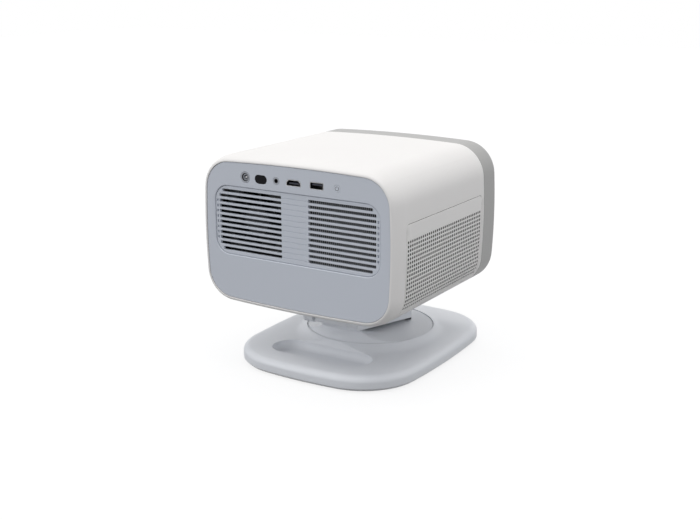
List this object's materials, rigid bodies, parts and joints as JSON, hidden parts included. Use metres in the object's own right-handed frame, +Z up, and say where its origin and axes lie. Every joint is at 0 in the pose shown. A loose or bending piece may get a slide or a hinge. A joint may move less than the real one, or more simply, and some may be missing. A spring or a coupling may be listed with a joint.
{
  "type": "video projector on tilting stand",
  "caption": "Compact projector with a louvred rear panel, perforated side panels and a round-cornered foot that lets it turn and tilt.",
  "frame": {"origin": "on the ground at the pan axis, in the plane of the rubber pad's lower face", "axes": "+Z up, the lens faces -Y, +X is to the left of someone who looks at the lens from in front"},
  "size_m": [0.204, 0.2293, 0.2026],
  "materials": {
    "stand_white": "satin moulded",
    "shell_white": "fine matt texture",
    "rear_grey": "fine matt texture",
    "button_grey": "satin moulded",
    "ring_grey": "fine matt texture",
    "front_dark": "smoked",
    "trim_metal": "anodised",
    "cover_glass": "coated",
    "lens_glass": "coated",
    "dark_gloss": "glossy",
    "rubber": "matt",
    "steel": "plated",
    "sheet_steel": "zinc plated",
    "bearing_plastic": "natural acetal",
    "cast_aluminium": "die cast",
    "fin_aluminium": "rolled sheet",
    "copper": "bright",
    "black_plastic": "moulded",
    "socket_black": "moulded",
    "socket_metal": "nickel plated",
    "cone_paper": "pressed paper",
    "board_green": "solder mask"
  },
  "bodies": {
    "foot": {"foot_shell": "stand_white", "foot_bottom_plate": "sheet_steel", "foot_pad": "rubber", "foot_ballast": "steel", "foot_screws": "steel", "pan_bush": "bearing_plastic", "pan_slide_ring": "bearing_plastic"},
    "turntable": {"turntable": "stand_white", "pan_shaft": "steel", "pan_nut": "steel", "tilt_rest_pads": "rubber"},
    "head": {"saddle": "stand_white", "saddle_screws": "steel", "tilt_pin": "steel", "hinge_caps": "stand_white", "friction_washers": "bearing_plastic", "head_shell": "shell_white", "rear_panel": "rear_grey", "rear_grille": "rear_grey", "front_ring": "ring_grey", "front_panel": "front_dark", "lens_trim": "trim_metal", "lens_window": "cover_glass", "sensor_window": "dark_gloss", "camera_module": "black_plastic", "side_grille_left": "shell_white", "side_grille_right": "shell_white", "speaker_left": "black_plastic", "speaker_right": "black_plastic", "speaker_cone_left": "cone_paper", "speaker_cone_right": "cone_paper", "chassis": "sheet_steel", "chassis_screws": "steel", "engine_bracket": "cast_aluminium", "optical_engine": "cast_aluminium", "lens_barrel": "black_plastic", "focus_motor": "black_plastic", "light_source": "cast_aluminium", "heat_pipes": "copper", "heat_sink": "fin_aluminium", "fan_frame": "black_plastic", "main_board": "board_green", "board_screws": "steel", "dc_jack": "socket_black", "ir_window": "dark_gloss", "audio_jack": "socket_black", "video_socket": "socket_metal", "data_socket": "socket_metal", "power_switch": "black_plastic"},
    "power_button": {"power_button": "button_grey"},
    "fan_rotor": {"fan_rotor": "black_plastic"},
    "focus_cell": {"focus_cell": "black_plastic", "focus_glass": "lens_glass"}
  },
  "joints": [
    {"name": "pan", "type": "hinge", "parent": "foot", "child": "turntable", "pos_m": [0, 0, 0.0153], "axis": [0, 0, 1], "continuous": true},
    {"name": "tilt", "type": "hinge", "parent": "turntable", "child": "head", "pos_m": [0, 0.0635, 0.049], "axis": [-1, 0, 0], "range_deg": [0, 35]},
    {"name": "power_press", "type": "slide", "parent": "head", "child": "power_button", "axis": [0, -1, 0], "range_m": [0, 0.0008], "stiffness_N_per_m": 900, "springref_m": -0.0004},
    {"name": "fan_spin", "type": "hinge", "parent": "head", "child": "fan_rotor", "pos_m": [0.048, 0.1125, 0.1425], "axis": [0, 1, 0], "continuous": true},
    {"name": "focus_slide", "type": "slide", "parent": "head", "child": "focus_cell", "axis": [0, -1, 0], "range_m": [0, 0.0015]}
  ]
}
